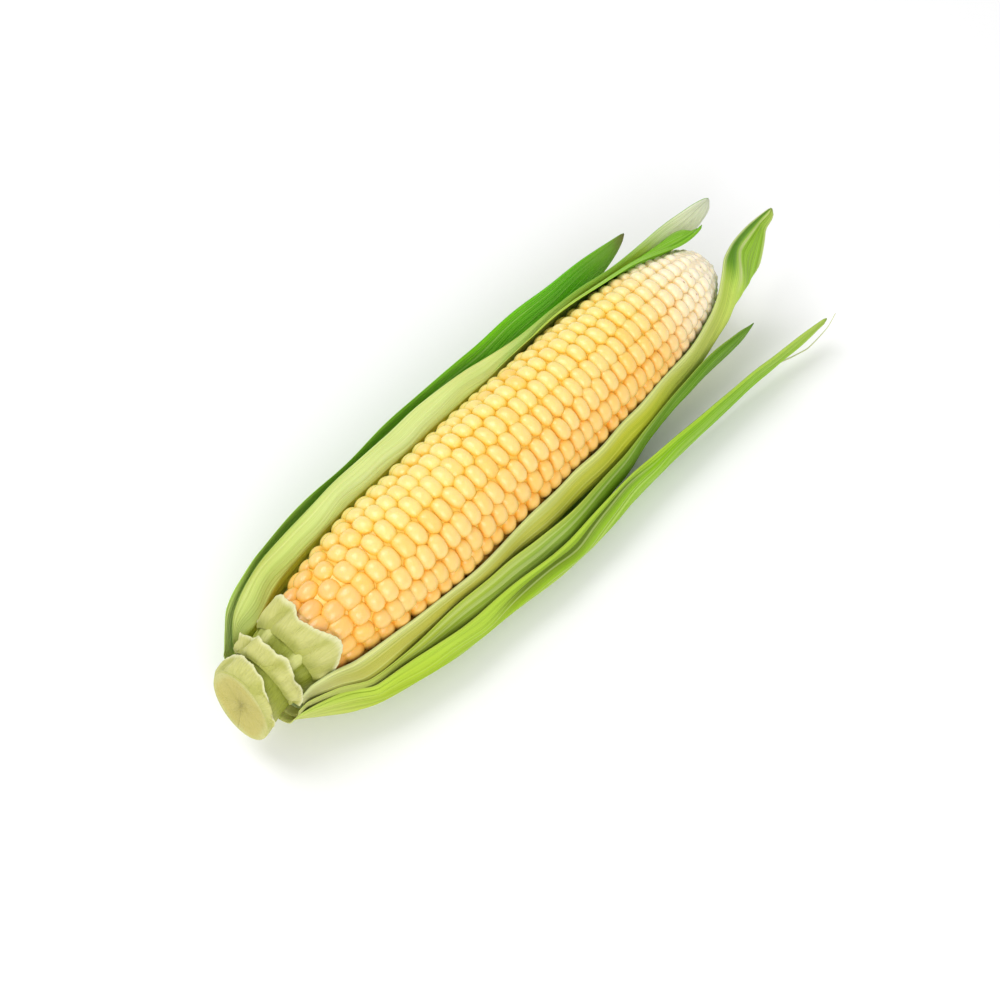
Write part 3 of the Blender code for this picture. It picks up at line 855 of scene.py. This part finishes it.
def make_stub(stub, material):
    """A torn leaf base: a thick collar grown on the shank, folded, whose thin lip curls out unevenly."""
    rows, columns = 56, 200
    s, c = np.meshgrid(np.linspace(0, 1, rows), np.linspace(0, 1, columns), indexing="ij")
    place = c * 100
    ragged = ripple(place, 40, stub.seed) + 0.16 * ripple(place, 13, stub.seed + 1)
    ragged = ragged + 0.05 * ripple(place, 4, stub.seed + 2) * ease((s - 0.8) / 0.2)
    ends = 0.45 + 0.55 * np.sin(np.pi * c) ** 0.6
    torn = (stub.tear * ragged + stub.sweep * (2 * c - 1)) * s**1.6
    x = stub.root + (stub.lip - stub.root) * s * ends + torn
    angle = stub.start + (stub.end - stub.start) * c
    radius = envelope_radius(x) + 0.3 + 0.5 * ease(s * 3)
    radius = radius + stub.reach * s**1.3 * (0.3 + 0.7 * np.sin(np.pi * c))
    folds = ripple(place + 9 * s, 30, stub.seed + 3)
    radius = radius + stub.pockets * np.sin(np.pi * s) * folds
    lip_wave = 0.5 + 0.7 * ripple(place, 24, stub.seed + 4)
    radius = radius + stub.curl * ease((s - 0.6) / 0.4) * lip_wave
    radius = radius + 0.12 * ripple(place + 4 * s, 7, stub.seed + 5) * ease(s * 4)
    radius = np.maximum(radius, envelope_radius(x) + 0.3 + 0.25 * ease(s * 3))
    height = -radius * np.cos(np.radians(angle))
    points = polar(x + stub.slant * CUT_SLANT * height * (1 - s), angle, radius, NEAR)
    rim = np.minimum(1, (1 - s) * 3) * np.minimum(1, np.minimum(c, 1 - c) * 16)
    thickness = 0.3 + (stub.thick - 0.3) * rim * (0.5 + 0.5 * ease(s * 4))
    pale, olive, lip = linear(206, 204, 126), linear(158, 164, 56), linear(234, 232, 186)
    low = ease(1 - s / 0.45)[..., None]
    colour = pale + (olive - pale) * (0.7 - 0.5 * stub.slant) * low
    colour = colour + (linear(180, 182, 78) - colour) * 0.6 * ease(-folds)[..., None]
    colour = colour + (lip - colour) * ease((s - 0.80) / 0.2)[..., None]
    grain = np.stack([c * 45, x, np.zeros_like(x)], axis=-1)
    # The inner face is the same colour a tenth darker: painted shade.
    return solid_sheet(stub.name, points, thickness, colour, colour * 0.9, grain, material)


# The stage

CAMERA_ELEVATION = math.radians(60)
CAMERA_TURN = math.radians(47.72)
CAMERA_DISTANCE = 0.6819
CAMERA_LENS = 70
CAMERA_SENSOR = 36
WORLD_STRENGTH = 0.66
FLOOR_HALF = 4.0
FLOOR_COLOUR = (0.95, 0.95, 0.95, 1)
TARGET = Vector((FIRST_RING + 90, AXIS_Y - 11.55, AXIS_Z - 0.4)) * MM


def view_axes():
    """The way the camera looks, and its right and up, in the row frame."""
    low, flat = math.sin(CAMERA_ELEVATION), math.cos(CAMERA_ELEVATION)
    turn_x, turn_y = math.sin(CAMERA_TURN), math.cos(CAMERA_TURN)
    ahead = Vector((turn_x * flat, turn_y * flat, -low))
    right = Vector((turn_y, -turn_x, 0))
    return ahead, right, right.cross(ahead)


def make_camera():
    ahead, right, up = view_axes()
    data = bpy.data.cameras.new("camera")
    data.lens = CAMERA_LENS
    data.sensor_width = CAMERA_SENSOR
    data.clip_start = 0.01
    camera = bpy.data.objects.new("camera", data)
    rotation = Matrix((right, up, -ahead)).transposed()
    camera.matrix_world = Matrix.Translation(TARGET - ahead * CAMERA_DISTANCE) @ rotation.to_4x4()
    bpy.context.scene.collection.objects.link(camera)
    bpy.context.scene.camera = camera


def make_light(name, offset, size, energy, colour=(1, 1, 1)):
    """A soft box that points at the target. offset is to the camera's right, away from it, and up."""
    ahead, right, _ = view_axes()
    depth = Vector((ahead.x, ahead.y, 0)).normalized()
    place = TARGET + right * offset[0] + depth * offset[1] + Vector((0, 0, offset[2]))
    data = bpy.data.lights.new(name, "AREA")
    data.shape = "DISK"
    data.size = size
    data.energy = energy
    data.color = colour
    light = bpy.data.objects.new(name, data)
    light.location = place
    light.rotation_euler = (TARGET - place).to_track_quat("-Z", "Y").to_euler()
    bpy.context.scene.collection.objects.link(light)


def make_floor():
    mesh = bpy.data.meshes.new("floor")
    half = FLOOR_HALF
    corners = [(-half, -half, 0), (half, -half, 0), (half, half, 0), (-half, half, 0)]
    mesh.from_pydata(corners, [], [(0, 1, 2, 3)])
    made = bpy.data.materials.new("floor")
    made.use_nodes = True
    shader = made.node_tree.nodes["Principled BSDF"]
    shader.inputs["Base Color"].default_value = FLOOR_COLOUR
    shader.inputs["Roughness"].default_value = 0.85
    shader.inputs["Specular IOR Level"].default_value = 0.2
    mesh.materials.append(made)
    floor = bpy.data.objects.new("floor", mesh)
    bpy.context.scene.collection.objects.link(floor)
    floor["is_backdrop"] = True


def make_world():
    world = bpy.data.worlds.new("studio")
    world.use_nodes = True
    background = world.node_tree.nodes["Background"]
    background.inputs["Color"].default_value = (1, 1, 1, 1)
    background.inputs["Strength"].default_value = WORLD_STRENGTH
    bpy.context.scene.world = world
    bpy.context.scene.view_settings.view_transform = "Standard"


def place(piece, node_name, slot):
    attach(piece, "root")
    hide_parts(node_name)


make_camera()
make_world()
make_floor()
make_light("key", (-0.52, 0.30, 0.95), 0.75, 5.0)
make_light("fill", (0.1, -0.95, 0.7), 0.9, 6.2)

kernel_look = kernel_material()
kernels = make_kernels(kernel_look)
cob = make_cob(kernel_look)
place(kernels, "ear", "kernels")
place(cob, "ear", "kernels")

inner_look = leaf_material("husk_inner", 0.44, 0.72)
outer_look = leaf_material("husk_outer", 0.42, 0.66)
torn_look = fibre_material("husk_torn", 0.55)
shank_look = fibre_material("shank", 0.5)

for leaf in LEAVES:
    cad_name = leaf.name.replace("husk_", "husk_leaf_")
    cad_slot = "husk_inner" if cad_name in (
        "husk_leaf_near_inner", "husk_leaf_near_middle", "husk_leaf_far_inner") else "husk_outer"
    look = inner_look if cad_slot == "husk_inner" else outer_look
    place(make_leaf(leaf, look), cad_name, cad_slot)

place(make_fibre(torn_look), "husk_leaf_near_outer", "husk_outer")
place(make_under_leaf(outer_look), "husk_leaf_under", "husk_outer")
place(make_shank(shank_look), "shank", "shank")
for stub in STUBS:
    place(make_stub(stub, torn_look), stub.name.replace("husk_torn_", "husk_stub_"), "husk_stub")

sizes = {"cad": cad_box, "visual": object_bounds()}
sizes = {name: [[float(v) for v in corner] for corner in box] for name, box in sizes.items()}
